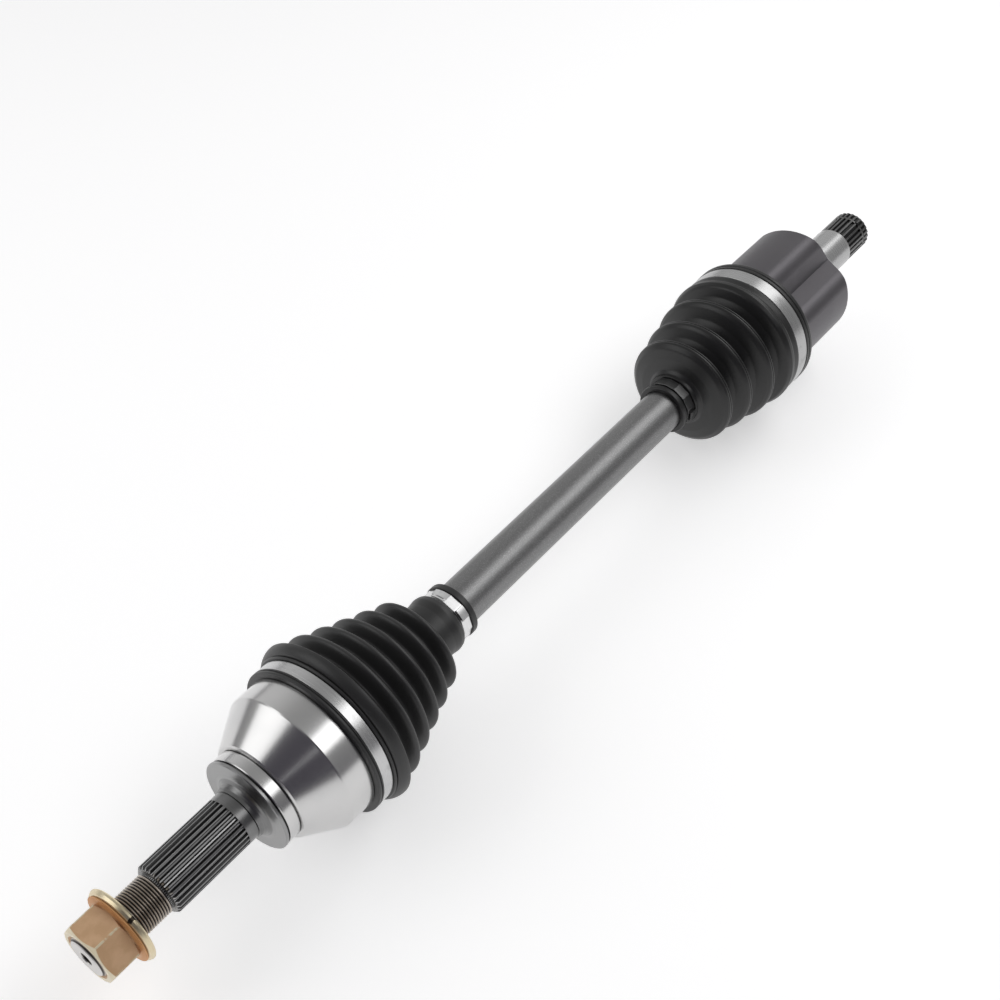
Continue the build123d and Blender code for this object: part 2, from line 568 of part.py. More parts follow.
def ear_clamp(x_range, inner_r, wall, ear_angle, ear_size):
    """Band clamp with a pinched ear standing out of the band."""
    band = tube(x_range, inner_r + wall, inner_r)
    length, height = ear_size
    width = x_range[1] - x_range[0] - 0.6
    middle = (x_range[0] + x_range[1]) / 2
    place = radial_place(middle, inner_r + wall / 2, ear_angle)
    ear = Pos(0, 0, height / 2) * Box(width, length, height)
    ear -= Pos(0, 0, height / 2 - wall) * Box(width + 2, length - 2 * wall, height - wall / 2)
    ear -= Pos(0, 0, height) * Box(width / 3, length / 2, 4 * wall)
    return band + place * ear


def outboard_large_clamp():
    """Band clamp of the hub boot's large end."""
    return ear_clamp(HUB_CLAMP_X, HUB_CUFF_R + 0.05, CLAMP_WALL, BIG_EAR_ANGLE, BIG_EAR)


def outboard_small_clamp():
    """Ear clamp of the hub boot's small end."""
    return ear_clamp(HUB_SMALL_CLAMP_X, HUB_COLLAR_R + COLLAR_GAP, SMALL_CLAMP_WALL, SMALL_EAR_ANGLE,
        SMALL_EAR)


def inboard_large_clamp():
    """Band clamp of the gearbox boot's large end."""
    return ear_clamp(GEARBOX_CLAMP_X, GEARBOX_CUFF_R + COLLAR_GAP, CLAMP_WALL, BIG_EAR_ANGLE, BIG_EAR)


def inboard_small_clamp():
    """Ear clamp of the gearbox boot's small end."""
    inner_r = GEARBOX_COLLAR_R + COLLAR_GAP
    return ear_clamp(GEARBOX_SMALL_CLAMP_X, inner_r, SMALL_CLAMP_WALL, SMALL_EAR_ANGLE, SMALL_EAR)


def all_parts():
    """Every node by name."""
    parts = {
        "axle_bar": axle_bar(), "outboard_housing": outboard_housing(), "axle_nut": axle_nut(),
        "axle_nut_washer": axle_nut_washer(), "ball_cage": ball_cage(),
        "outboard_inner_race": outboard_inner_race(), "outboard_boot": outboard_boot(),
        "outboard_large_clamp": outboard_large_clamp(), "outboard_small_clamp": outboard_small_clamp(),
        "tripod_spider": tripod_spider(), "inboard_housing": inboard_housing(),
        "boot_adapter": boot_adapter(),
        "inboard_boot": inboard_boot(), "inboard_large_clamp": inboard_large_clamp(),
        "inboard_small_clamp": inboard_small_clamp(), "stub_retaining_ring": stub_retaining_ring()}
    for name, x_range in RACE_RING_X.items():
        parts[name] = bar_ring(x_range, HUB_NECK_R)
    for name, x_range in SPIDER_RING_X.items():
        parts[name] = bar_ring(x_range, SPIDER_SEAT_R)
    for i, angle in enumerate(ball_angles(), 1):
        parts[f"ball_{i}"] = ball(angle)
    for i, angle in enumerate(trunnion_angles(), 1):
        parts[f"roller_{i}"] = roller(angle)
        parts[f"needle_set_{i}"] = needle_set(angle)
        parts[f"roller_retainer_{i}"] = roller_retainer(angle)
        parts[f"retainer_circlip_{i}"] = retainer_circlip(angle)
    return parts


os.makedirs("parts", exist_ok=True)
for node, shape in all_parts().items():
    export_step(shape, f"parts/{node}.step")
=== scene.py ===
"""Looks of a front-wheel-drive CV axle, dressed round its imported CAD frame.

Everything is in metres, in the frame's own axes: the origin is the centre of the hub
shoulder face, +X runs along the bar to the gearbox end and +Z is up. Outlines of turned
pieces are written in millimetres as (x, radius) and scaled by MM when their mesh is made.
"""

import math

import bmesh
import bpy
import numpy as np
from mathutils import Matrix, Vector


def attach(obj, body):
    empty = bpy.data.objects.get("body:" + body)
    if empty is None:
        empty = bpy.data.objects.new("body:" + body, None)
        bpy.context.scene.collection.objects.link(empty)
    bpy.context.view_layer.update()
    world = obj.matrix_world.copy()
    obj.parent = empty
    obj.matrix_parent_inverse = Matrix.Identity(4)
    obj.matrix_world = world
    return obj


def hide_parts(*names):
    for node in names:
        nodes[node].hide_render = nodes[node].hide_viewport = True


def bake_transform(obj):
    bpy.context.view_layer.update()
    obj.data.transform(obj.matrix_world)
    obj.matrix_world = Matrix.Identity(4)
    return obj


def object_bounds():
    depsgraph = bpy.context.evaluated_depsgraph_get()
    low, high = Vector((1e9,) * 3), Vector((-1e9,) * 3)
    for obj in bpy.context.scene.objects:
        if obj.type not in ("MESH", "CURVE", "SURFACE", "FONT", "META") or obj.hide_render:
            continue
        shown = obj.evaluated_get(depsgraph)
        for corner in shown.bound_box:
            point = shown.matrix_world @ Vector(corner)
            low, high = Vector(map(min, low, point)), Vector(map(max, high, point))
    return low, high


MM = 0.001
AROUND = 168                 # mesh columns round every turned piece
BELOW = -1e3                 # open end of a zone mask, in metres

# Where the finishes change along the axis and with the radius, in metres.
STUB_FACE_X = -0.1046        # everything before it is the stub's end face
CENTRE_HOLE_END_X = -0.0950
CENTRE_HOLE_R = 0.0019
THREAD_END_X = -0.0610
THREAD_CREST_R = (0.0112, 0.0119)
SPLINE_END_X = -0.0120
SPLINE_TIP_R = (0.0140, 0.0146)
HUB_TEETH = 28
NECK_END_X = -0.0004
RIM_X = 0.0028               # the shoulder's satin rim ends, the polished bell begins
GROOVE_X = (0.0020, 0.0031)
GROOVE_R = 0.0276
FINE_GROOVE_X = (0.0100, 0.0104)
FINE_GROOVE_R = 0.0281
BELL_HOLLOW_X = (0.0105, 0.0107)
BELL_HOLLOW_R = 0.0290
NUT_FACE_X = -0.10392
NUT_FACE_R = (0.0130, 0.0134)
NUT_CORNER_R = (0.01808, 0.01822)
NUT_HEXAGON_END_X = -0.0870
NUT_COLLAR_X = (-0.0868, -0.0862)
NUT_CHAMFER_END_X = -0.1018
NUT_CHAMFER_SLOPE = math.tan(math.radians(30))
NUT_CHAMFER = (0.11286, 0.11298)         # slope times radius, less x, on the chamfer cone
WASHER_MARK_Y = (-0.0125, -0.0105)
WASHER_MARK_Z = (0.0172, 0.0192)
STUB_ROOT_X = (0.5510, 0.5540)
STUB_ROOT_R = 0.0270
STUB_SPLINE_X = (0.5918, 0.5922)
STUB_TIP_R = (0.0131, 0.0139)
STUB_END_X = (0.6194, 0.6198)

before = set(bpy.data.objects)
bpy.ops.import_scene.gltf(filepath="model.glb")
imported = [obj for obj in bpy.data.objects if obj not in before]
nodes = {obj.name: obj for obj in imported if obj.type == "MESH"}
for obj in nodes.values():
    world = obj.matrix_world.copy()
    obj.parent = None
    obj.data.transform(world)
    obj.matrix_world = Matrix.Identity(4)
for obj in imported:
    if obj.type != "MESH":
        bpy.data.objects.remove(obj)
cad_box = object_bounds()


# ---- Shader helpers ----------------------------------------------------------------
class Shader:
    """A material with one Principled shader, built from short calls."""

    def __init__(self, name, metallic=0.0, roughness=0.5, specular=0.5):
        self.material = bpy.data.materials.new(name)
        self.material.use_nodes = True
        self.tree = self.material.node_tree
        self.tree.nodes.clear()
        out = self.add("ShaderNodeOutputMaterial")
        self.bsdf = self.add("ShaderNodeBsdfPrincipled")
        self.tree.links.new(self.bsdf.outputs[0], out.inputs["Surface"])
        self.put("Metallic", metallic)
        self.put("Roughness", roughness)
        self.put("Specular IOR Level", specular)
        self.place = self.add("ShaderNodeTexCoord").outputs["Object"]
        split = self.add("ShaderNodeSeparateXYZ")
        self.tree.links.new(self.place, split.inputs[0])
        self.x = split.outputs[0]
        self.y = split.outputs[1]
        self.z = split.outputs[2]
        self.r = self.math("SQRT", self.math("ADD", self.square(self.y), self.square(self.z)))

    def add(self, kind):
        return self.tree.nodes.new(kind)

    def feed(self, socket, value):
        """Link another node's output, or set the socket's own value."""
        if isinstance(value, bpy.types.NodeSocket):
            self.tree.links.new(value, socket)
        elif isinstance(value, tuple) and len(value) == 3 and socket.type == "RGBA":
            socket.default_value = (*value, 1.0)
        else:
            socket.default_value = value

    def put(self, name, value):
        self.feed(self.bsdf.inputs[name], value)

    def math(self, operation, a, b=0.0):
        node = self.add("ShaderNodeMath")
        node.operation = operation
        self.feed(node.inputs[0], a)
        self.feed(node.inputs[1], b)
        return node.outputs[0]

    def square(self, a):
        return self.math("MULTIPLY", a, a)

    def both(self, a, b):
        """Where two masks overlap."""
        return self.math("MULTIPLY", a, b)

    def mix(self, factor, a, b):
        node = self.add("ShaderNodeMix")
        node.data_type = "RGBA"
        self.feed(node.inputs[0], factor)
        self.feed(node.inputs[6], a)
        self.feed(node.inputs[7], b)
        return node.outputs[2]

    def lerp(self, factor, a, b):
        node = self.add("ShaderNodeMix")
        self.feed(node.inputs[0], factor)
        self.feed(node.inputs[2], a)
        self.feed(node.inputs[3], b)
        return node.outputs[0]

    def step(self, value, low, high):
        """0 below low, 1 above high, smooth between."""
        node = self.add("ShaderNodeMapRange")
        node.interpolation_type = "SMOOTHSTEP"
        self.feed(node.inputs["Value"], value)
        self.feed(node.inputs["From Min"], low)
        self.feed(node.inputs["From Max"], high)
        return node.outputs[0]

    def zone(self, value, low, high, soft=0.0001):
        """1 between low and high, 0 outside."""
        rise = self.step(value, low - soft, low + soft)
        fall = self.step(value, high - soft, high + soft)
        return self.math("SUBTRACT", rise, fall)

    def vector(self, x, y, z):
        node = self.add("ShaderNodeCombineXYZ")
        for socket, value in zip(node.inputs, (x, y, z)):
            self.feed(socket, value)
        return node.outputs[0]

    def noise(self, scale, detail=2.0, place=None):
        node = self.add("ShaderNodeTexNoise")
        self.feed(node.inputs["Vector"], self.place if place is None else place)
        self.feed(node.inputs["Scale"], scale)
        self.feed(node.inputs["Detail"], detail)
        return node.outputs["Fac"]

    def bump(self, height, depth, strength=1.0):
        node = self.add("ShaderNodeBump")
        self.feed(node.inputs["Strength"], strength)
        self.feed(node.inputs["Distance"], depth)
        self.feed(node.inputs["Height"], height)
        self.put("Normal", node.outputs["Normal"])

    def rings(self, scale):
        """Lathe rings: noise that changes only along the axis and with the radius."""
        run = self.math("ADD", self.x, self.math("MULTIPLY", self.r, 0.93))
        return self.noise(scale, 3.0, self.vector(run, 0.0, 0.0))

    def streaks(self, scale):
        """Rolling marks that run round a strip."""
        angle = self.math("ARCTAN2", self.z, self.y)
        return self.noise(scale, 4.0, self.vector(self.x, self.math("MULTIPLY", angle, 0.0006), self.r))

    def tooth_highlight_lines(self, count, low, high):
        """Painted highlight lines along a spline: one on every tip and one in every root."""
        angle = self.math("ARCTAN2", self.z, self.y)
        wave = self.math("COSINE", self.math("MULTIPLY", angle, 2.0 * count))
        return self.step(wave, low, high)

    def turned_gloss(self, strength):
        """Stretch highlights across the lathe rings."""
        node = self.add("ShaderNodeTangent")
        node.direction_type = "RADIAL"
        node.axis = "X"
        self.tree.links.new(node.outputs[0], self.bsdf.inputs["Tangent"])
        self.put("Anisotropic", strength)
        self.put("Anisotropic Rotation", 0.25)


def grey(level, warm=0.0):
    """A grey colour, a little warm or, below zero, a little cool."""
    return (level * (1 + warm), level, level * (1 - warm))


# ---- Metals ------------------------------------------------------------------------
def hub_forging():
    """Polished bell, satin shoulder, painted shade in the grooves and the centre hole, spline with painted
    highlight lines, brown thread.
    """
    s = Shader("hub_forging", metallic=1.0)
    rings = s.rings(2600.0)
    blotch = s.noise(60.0)
    polished = s.mix(blotch, grey(0.56), grey(0.64, 0.01))
    satin = s.mix(rings, grey(0.26), grey(0.36))
    on_bell = s.step(s.x, RIM_X, RIM_X + 0.0003)
    colour = s.mix(on_bell, satin, polished)
    # Painted light on the spline: highlight lines on the tooth tips, brighter highlight lines in the roots
    # to lift them out of their shade, and painted shade on the flanks between them.
    tip = s.step(s.r, *SPLINE_TIP_R)
    line = s.mix(tip, grey(0.50), s.mix(s.noise(300.0), grey(0.22), grey(0.38)))
    spline = s.mix(s.tooth_highlight_lines(HUB_TEETH, -0.1, 0.6), grey(0.07), line)
    on_spline = s.zone(s.x, BELOW, SPLINE_END_X)
    colour = s.mix(on_spline, colour, spline)
    neck = s.mix(rings, grey(0.16), grey(0.26))
    colour = s.mix(s.zone(s.x, SPLINE_END_X, NECK_END_X), colour, neck)
    crest = s.step(s.r, *THREAD_CREST_R)
    thread = s.mix(crest, (0.06, 0.052, 0.046), (0.52, 0.47, 0.42))
    colour = s.mix(s.zone(s.x, BELOW, THREAD_END_X), colour, thread)
    colour = s.mix(s.zone(s.x, BELOW, STUB_FACE_X), colour, grey(0.66, 0.02))
    # Painted shade: the centre hole, the groove and the fine groove are darkened where shade falls in
    # them.
    centre_hole_shade = s.both(s.zone(s.x, BELOW, CENTRE_HOLE_END_X), s.zone(s.r, BELOW, CENTRE_HOLE_R))
    colour = s.mix(centre_hole_shade, colour, grey(0.04))
    groove = s.both(s.zone(s.x, *GROOVE_X), s.zone(s.r, BELOW, GROOVE_R))
    colour = s.mix(groove, colour, grey(0.05))
    fine_groove_shade = s.both(s.zone(s.x, *FINE_GROOVE_X), s.zone(s.r, BELOW, FINE_GROOVE_R))
    colour = s.mix(fine_groove_shade, colour, grey(0.16))
    inside = s.both(s.step(s.x, *BELL_HOLLOW_X), s.zone(s.r, BELOW, BELL_HOLLOW_R))
    colour = s.mix(inside, colour, grey(0.30))
    s.put("Base Color", colour)
    rough = s.lerp(rings, 0.19, 0.26)
    rough = s.lerp(s.zone(s.x, BELOW, RIM_X), rough, s.lerp(rings, 0.24, 0.38))
    s.put("Roughness", s.lerp(on_spline, rough, 0.42))
    s.turned_gloss(0.35)
    s.bump(rings, 0.00001, 0.6)
    return s.material


def gearbox_forging():
    """Dark lobed housing, bright machined stub root, dark spline with a lighter end."""
    s = Shader("gearbox_forging", metallic=0.75)
    cloud = s.noise(35.0, 3.0)
    dark = s.mix(cloud, (0.105, 0.100, 0.108), (0.140, 0.133, 0.142))
    rings = s.rings(2200.0)
    bright = s.mix(rings, grey(0.36), grey(0.50))
    root = s.both(s.step(s.x, *STUB_ROOT_X), s.zone(s.r, BELOW, STUB_ROOT_R))
    colour = s.mix(root, dark, bright)
    tip = s.step(s.r, *STUB_TIP_R)
    spline = s.mix(tip, grey(0.02), s.mix(s.noise(260.0), grey(0.08), grey(0.18)))
    colour = s.mix(s.step(s.x, *STUB_SPLINE_X), colour, spline)
    colour = s.mix(s.step(s.x, *STUB_END_X), colour, grey(0.3))
    s.put("Base Color", colour)
    grain = s.noise(1400.0, 4.0)
    rough = s.lerp(root, s.lerp(grain, 0.34, 0.50), s.lerp(rings, 0.22, 0.34))
    s.put("Roughness", rough)
    s.bump(grain, 0.00003, 0.5)
    return s.material


def bar_finish():
    """Satin grey coating with a fine metallic speckle."""
    s = Shader("bar_finish", metallic=0.85)
    speck = s.noise(2600.0, 2.0)
    cloud = s.noise(18.0, 3.0)
    base = s.mix(cloud, grey(0.18), grey(0.22))
    s.put("Base Color", s.mix(s.step(speck, 0.52, 0.68), base, grey(0.34)))
    s.put("Roughness", s.lerp(speck, 0.30, 0.44))
    s.bump(speck, 0.00003, 0.6)
    return s.material


def strip_steel(name, low, high, rough):
    """Rolled strip: fine marks round the band and a few darker scuffs."""
    s = Shader(name, metallic=1.0)
    marks = s.streaks(1500.0)
    scuff = s.step(s.noise(120.0, 4.0), 0.56, 0.72)
    colour = s.mix(marks, grey(low), grey(high))
    s.put("Base Color", s.mix(s.math("MULTIPLY", scuff, 0.35), colour, grey(low * 0.6)))
    s.put("Roughness", s.lerp(marks, rough, rough + 0.12))
    s.bump(marks, 0.00001, 0.5)
    return s.material


def plated_nut():
    """Yellow passivated zinc: matt copper-tan flats, painted highlights along the edges, an orange collar.
    """
    s = Shader("nut_finish", metallic=0.30)
    cloud = s.noise(140.0, 4.0)
    colour = s.mix(s.step(cloud, 0.35, 0.68), (0.62, 0.375, 0.20), (0.72, 0.455, 0.26))
    colour = s.mix(s.step(s.x, *NUT_COLLAR_X), colour, (0.66, 0.31, 0.10))
    # Painted highlight: a bright colour on the hex corners in noisy patches, on the front chamfer cone and
    # on a ring of the front face, with lower roughness there.
    wear_and_corner_highlight = s.step(s.noise(420.0, 3.0), 0.34, 0.52)
    corner = s.both(s.step(s.r, *NUT_CORNER_R), s.zone(s.x, BELOW, NUT_HEXAGON_END_X))
    cone = s.math("SUBTRACT", s.math("MULTIPLY", s.r, NUT_CHAMFER_SLOPE), s.x)
    chamfer = s.both(s.step(cone, *NUT_CHAMFER), s.zone(s.x, BELOW, NUT_CHAMFER_END_X))
    face = s.both(s.zone(s.x, BELOW, NUT_FACE_X), s.step(s.r, *NUT_FACE_R))
    edge = s.math("MAXIMUM", s.both(corner, wear_and_corner_highlight), s.math("MAXIMUM", chamfer, face))
    colour = s.mix(edge, colour, (0.82, 0.73, 0.52))
    fine = s.noise(1800.0, 3.0)
    s.put("Base Color", s.mix(s.math("MULTIPLY", fine, 0.2), colour, (0.90, 0.70, 0.46)))
    s.put("Roughness", s.lerp(edge, s.lerp(fine, 0.42, 0.58), 0.30))
    s.bump(fine, 0.00002, 0.5)
    return s.material


def washer_finish():
    """Yellow-silver plate with one small dark mark."""
    s = Shader("washer_finish", metallic=0.9)
    cloud = s.noise(90.0, 4.0)
    colour = s.mix(cloud, (0.62, 0.50, 0.30), (0.86, 0.78, 0.58))
    spot = s.both(s.zone(s.y, *WASHER_MARK_Y), s.zone(s.z, *WASHER_MARK_Z))
    s.put("Base Color", s.mix(spot, colour, (0.05, 0.04, 0.03)))
    rings = s.rings(1800.0)
    s.put("Roughness", s.lerp(rings, 0.26, 0.40))
    s.bump(rings, 0.00002, 0.5)
    return s.material


def plain_steel(name, low, high, rough, scale=700.0):
    """Ground or hardened steel with a fine uneven sheen."""
    s = Shader(name, metallic=1.0)
    cloud = s.noise(120.0, 3.0)
    fine = s.noise(scale, 3.0)
    s.put("Base Color", s.mix(cloud, grey(low), grey(high, 0.02)))
    s.put("Roughness", s.lerp(fine, rough, rough + 0.14))
    s.bump(fine, 0.00001, 0.4)
    return s.material


def rubber(name, low, high, rough):
    """Moulded rubber: fine grain, faint bloom, darker in patches."""
    s = Shader(name, roughness=rough, specular=0.5)
    cloud = s.noise(28.0, 4.0)
    grain = s.noise(2200.0, 4.0)
    s.put("Base Color", s.mix(cloud, grey(low), grey(high)))
    s.put("Roughness", s.lerp(grain, rough - 0.06, rough + 0.10))
    s.bump(grain, 0.00004, 0.5)
    return s.material


# ---- Turned meshes -----------------------------------------------------------------
def rounded(corners, steps=5):
    """Outline of (x, r) points from (x, r, fillet) corners; the ends stay sharp."""
    line = [np.array(corners[0][:2], float)]
    for before, here, after in zip(corners, corners[1:], corners[2:]):
        p, a, b = (np.array(c[:2], float) for c in (here, before, after))
        radius = here[2] if len(here) > 2 else 0.0
        to_a, to_b = (a - p) / np.linalg.norm(a - p), (b - p) / np.linalg.norm(b - p)
        half = math.acos(max(-1.0, min(1.0, float(to_a @ to_b)))) / 2
        if radius <= 0 or half > math.radians(89):
            line.append(p)
            continue
        reach = min(radius / math.tan(half), 0.49 * np.linalg.norm(a - p), 0.49 * np.linalg.norm(b - p))
        start, end = p + to_a * reach, p + to_b * reach
        for i in range(steps + 1):
            t = i / steps
            line.append((1 - t) ** 2 * start + 2 * t * (1 - t) * p + t * t * end)
    line.append(np.array(corners[-1][:2], float))
    return [tuple(p) for p in line]


def mesh_object(name, points, faces, material, sharp=40.0):
    """Mesh object from points in millimetres, smooth apart from its hard edges."""
    mesh = bpy.data.meshes.new(name)
    mesh.from_pydata([tuple(MM * c for c in p) for p in points], [], faces)
    mesh.validate()
    shape = bmesh.new()
    shape.from_mesh(mesh)
    bmesh.ops.recalc_face_normals(shape, faces=shape.faces)
    shape.to_mesh(mesh)
    shape.free()
    mesh.polygons.foreach_set("use_smooth", [True] * len(mesh.polygons))
    mesh.set_sharp_from_angle(angle=math.radians(sharp))
    mesh.materials.append(material)
    obj = bpy.data.objects.new(name, mesh)
    bpy.context.scene.collection.objects.link(obj)
    return obj


def loop_faces(rings, size):
    """Quads over a closed run of rings, each a closed loop of the same size."""
    faces = []
    for i in range(rings):
        for j in range(size):
            a, b = i * size, ((i + 1) % rings) * size
            k = (j + 1) % size
            faces.append((a + j, a + k, b + k, b + j))
    return faces


def lathe(name, outline, material, sharp=40.0):
    """Turn a closed outline of (x, r) millimetre points about the shaft axis."""
    points = []
    for column in range(AROUND):
        a = 2 * math.pi * column / AROUND
        points += [(x, r * math.cos(a), r * math.sin(a)) for x, r in outline]
    return mesh_object(name, points, loop_faces(AROUND, len(outline)), material, sharp)


def resample(line, step):
    """The same line with no run longer than step, so that it bends smoothly."""
    out = [line[0]]
    for (x0, r0), (x1, r1) in zip(line, line[1:]):
        parts = max(1, math.ceil(math.hypot(x1 - x0, r1 - r0) / step))
        out += [(x0 + (x1 - x0) * i / parts, r0 + (r1 - r0) * i / parts) for i in range(1, parts + 1)]
    return out


def clipped(line, x0, x1):
    """The part of an outline between two axial positions; its x always grows."""
    xs = [p[0] for p in line]
    rs = [p[1] for p in line]
    ends = [(x, float(np.interp(x, xs, rs))) for x in (x0, x1)]
    return [ends[0]] + [p for p in line if x0 < p[0] < x1] + [ends[1]]


def forward(line, tiny=0.002):
    """Nudge vertical steps so that x always grows along the line."""
    out = [line[0]]
    for x, r in line[1:]:
        out.append((max(x, out[-1][0] + tiny), r))
    return out


# ---- Boots -------------------------------------------------------------------------
HUB_BOOT_X = (48.5, 165.5)
HUB_SEAT_END_X = 58.6        # the boot sits on the bell up to here
HUB_SEAT_R = 42.66
HUB_BEND_X = (60.0, 150.0)   # the span between the boot's two clamps
HUB_SHOULDER = (61.0, 48.9)  # where the shoulder leaves the clamp seat
HUB_PITCH = 12.84
HUB_CREST_FALL = 4.5         # each crest is smaller than the one before by this much
HUB_CRESTS = [(67.0 + HUB_PITCH * i, 52.1 - HUB_CREST_FALL * i) for i in range(6)]
HUB_NECK_R = 18.0
HUB_LAST_FALL = 6.6          # length of the last fold's back, down to the neck
GEARBOX_BOOT_X = (374.0, 481.5)
GEARBOX_SEAT_X = 461.5       # the boot sits on the adapter from here
GEARBOX_SEAT_R = 42.9
GEARBOX_BEND_X = (388.0, 462.0)
GEARBOX_FOLD_X = (405.5, 436.8)          # the middle slice: from a valley to a crest's groove
BAR_CLEAR_R = 14.05
FOLD_DEPTH = 8.6
FOLD_BACK = 0.44             # share of the pitch from a crest to the valley behind it
BACK_POWER = 1.6             # low: a tight edge at the top of the back
FRONT_POWER = 2.7            # high: a broad swell towards the hub
WALL = 1.4


def fold_drop(t):
    """How deep a fold is, from 0 to 1, at a share t of the way from one crest to the next."""
    if t < FOLD_BACK:
        return math.sin(math.pi / 2 * t / FOLD_BACK) ** BACK_POWER
    return math.sin(math.pi / 2 * (1 - t) / (1 - FOLD_BACK)) ** FRONT_POWER


def fold_skin(crests, depth, step=0.3):
    """Folds through the crests."""
    line = []
    for (x0, r0), (x1, r1) in zip(crests, crests[1:]):
        count = round((x1 - x0) / step)
        for i in range(count):
            t = i / count
            line.append((x0 + (x1 - x0) * t, r0 + (r1 - r0) * t - depth * fold_drop(t)))
    line.append(crests[-1])
    return line


def hub_cuff():
    """Lip, clamp seat and rib of the hub boot."""
    lip_r, seat_r, rib_r = 47.4, 46.15, 48.9
    return rounded([
        (HUB_BOOT_X[0], HUB_SEAT_R + 0.09), (HUB_BOOT_X[0], lip_r, 1.0), (50.2, lip_r, 0.5),
        (50.3, 46.8, 0.1), (50.8, 46.8, 0.1), (50.9, lip_r, 0.4), (51.7, lip_r, 0.3),
        (51.8, seat_r, 0.1), (58.9, seat_r, 0.1), (59.0, 48.3, 0.5), (60.2, rib_r, 0.5),
        (60.4, 47.9, 0.2), (60.8, 47.9, 0.1), HUB_SHOULDER])


def hub_collar():
    """Neck, bulge, clamp seat and end lip of the hub boot."""
    return rounded([
        (138.2, HUB_NECK_R), (145.0, 18.15, 6.0), (149.5, 18.8, 4.0), (152.6, 18.2, 2.5),
        (154.0, 16.9, 0.5), (154.1, 15.35, 0.1), (161.3, 15.35, 0.1), (161.4, 17.3, 0.5),
        (HUB_BOOT_X[1], 17.3, 0.9), (HUB_BOOT_X[1] + 0.02, BAR_CLEAR_R + 0.05)])


def hub_skin():
    """Outside of the hub boot: cuff, shoulder, six crests, last fall, collar."""
    start_x, start_r = HUB_SHOULDER
    crest_x, crest_r = HUB_CRESTS[0]
    shoulder = []
    for i in range(1, 20):
        t = i / 20
        rise = (1 - (1 - t) ** 2) ** 0.75
        shoulder.append((start_x + (crest_x - start_x) * t, start_r + (crest_r - start_r) * rise))
    x, r = HUB_CRESTS[-1]
    back = []
    for i in range(1, 18):
        t = i / 17
        drop = math.sin(math.pi * t / 2) ** BACK_POWER
        back.append((x + HUB_LAST_FALL * t, r - (r - HUB_NECK_R) * drop))
    folds = fold_skin(HUB_CRESTS, FOLD_DEPTH)
    return forward(hub_cuff() + shoulder + folds + back + hub_collar())


def gearbox_crest(x, r):
    """A moulded double bead along the top of a fold."""
    return [
        (x - 2.5, r - 0.75, 1.0), (x - 1.3, r - 0.05, 0.5), (x - 0.45, r - 0.05, 0.25),
        (x - 0.25, r - 0.5, 0.1), (x + 0.1, r - 0.5, 0.1), (x + 0.35, r, 0.3), (x + 1.3, r, 0.6)]


def gearbox_skin():
    """Outside of the gearbox boot: end lip, collar, flat front face, four folds, cuff."""
    start_x, end_x = GEARBOX_BOOT_X
    lip_r, collar_r, cuff_r, seat_r = 17.1, 16.05, 46.9, 45.55
    corners = [
        (start_x, BAR_CLEAR_R + 0.05), (start_x, lip_r, 0.9), (377.7, lip_r, 0.5),
        (377.8, collar_r, 0.1), (386.2, collar_r, 0.1), (386.4, 17.9, 0.6), (388.6, 18.4, 1.5),
        (390.6, 20.3, 1.6), (391.6, 27.0, 12.0), (393.4, 33.6, 4.0), (395.6, 36.4, 2.0)]
    corners += gearbox_crest(398.2, 36.9)
    corners += [(401.4, 30.4, 2.0), (405.5, 27.2, 2.5), (409.7, 32.6, 5.0), (412.6, 38.2, 4.0)]
    corners += gearbox_crest(416.4, 40.4)
    corners += [(420.4, 32.8, 2.0), (425.0, 29.6, 2.5), (429.7, 35.4, 5.0), (433.0, 42.0, 4.0)]
    corners += gearbox_crest(436.9, 44.5)
    corners += [(440.9, 37.0, 2.0), (445.5, 34.2, 2.5), (449.9, 40.0, 4.0), (452.6, 46.0, 3.0)]
    corners += [
        (455.6, 47.5, 1.5), (458.2, 47.4, 1.0), (459.6, 46.3, 1.2), (461.0, 46.5, 1.0),
        (463.2, cuff_r, 0.5), (464.2, cuff_r, 0.3), (464.3, seat_r, 0.1), (474.9, seat_r, 0.1),
        (475.1, 47.2, 0.8), (477.3, 47.3, 0.6), (477.9, 46.6, 0.3), (478.5, 47.3, 0.6),
        (end_x, 47.2, 1.2), (end_x + 0.02, GEARBOX_SEAT_R + 0.05)]
    return forward(rounded(corners))


def lining(skin, bore):
    """Inside of a boot: the outside moved in by the wall, never past the bore."""
    line = []
    for (x0, r0), (x1, r1) in zip(skin, skin[1:]):
        length = math.hypot(x1 - x0, r1 - r0)
        line.append(((x0 + x1) / 2 + WALL * (r1 - r0) / length, (r0 + r1) / 2 - WALL * (x1 - x0) / length))
    xs = np.array([p[0] for p in line])
    rs = np.array([p[1] for p in line])
    smooth = []
    for x, _ in skin:
        near = np.abs(xs - x) < 0.8
        value = rs[near].min() if near.any() else np.interp(x, xs, rs)
        smooth.append((x, max(float(value), bore(x))))
    return smooth


def boot_slice(skin, inside, material, name, ends, bodies, span):
    """One slice of a boot between two axial positions; bodies and span are not used."""
    outer = resample(clipped(skin, *ends), 0.5)
    inner = resample(clipped(inside, *ends), 1.0)
    obj = lathe(name, outer + inner[::-1], material, 50.0)
    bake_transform(obj)
    return obj


def hub_bore(x):
    """Least inside radius of the hub boot: the bell seat, then the bar."""
    return HUB_SEAT_R if x < HUB_SEAT_END_X else BAR_CLEAR_R


def gearbox_bore(x):
    """Least inside radius of the gearbox boot: the bar, then the adapter seat."""
    return GEARBOX_SEAT_R if x > GEARBOX_SEAT_X else BAR_CLEAR_R


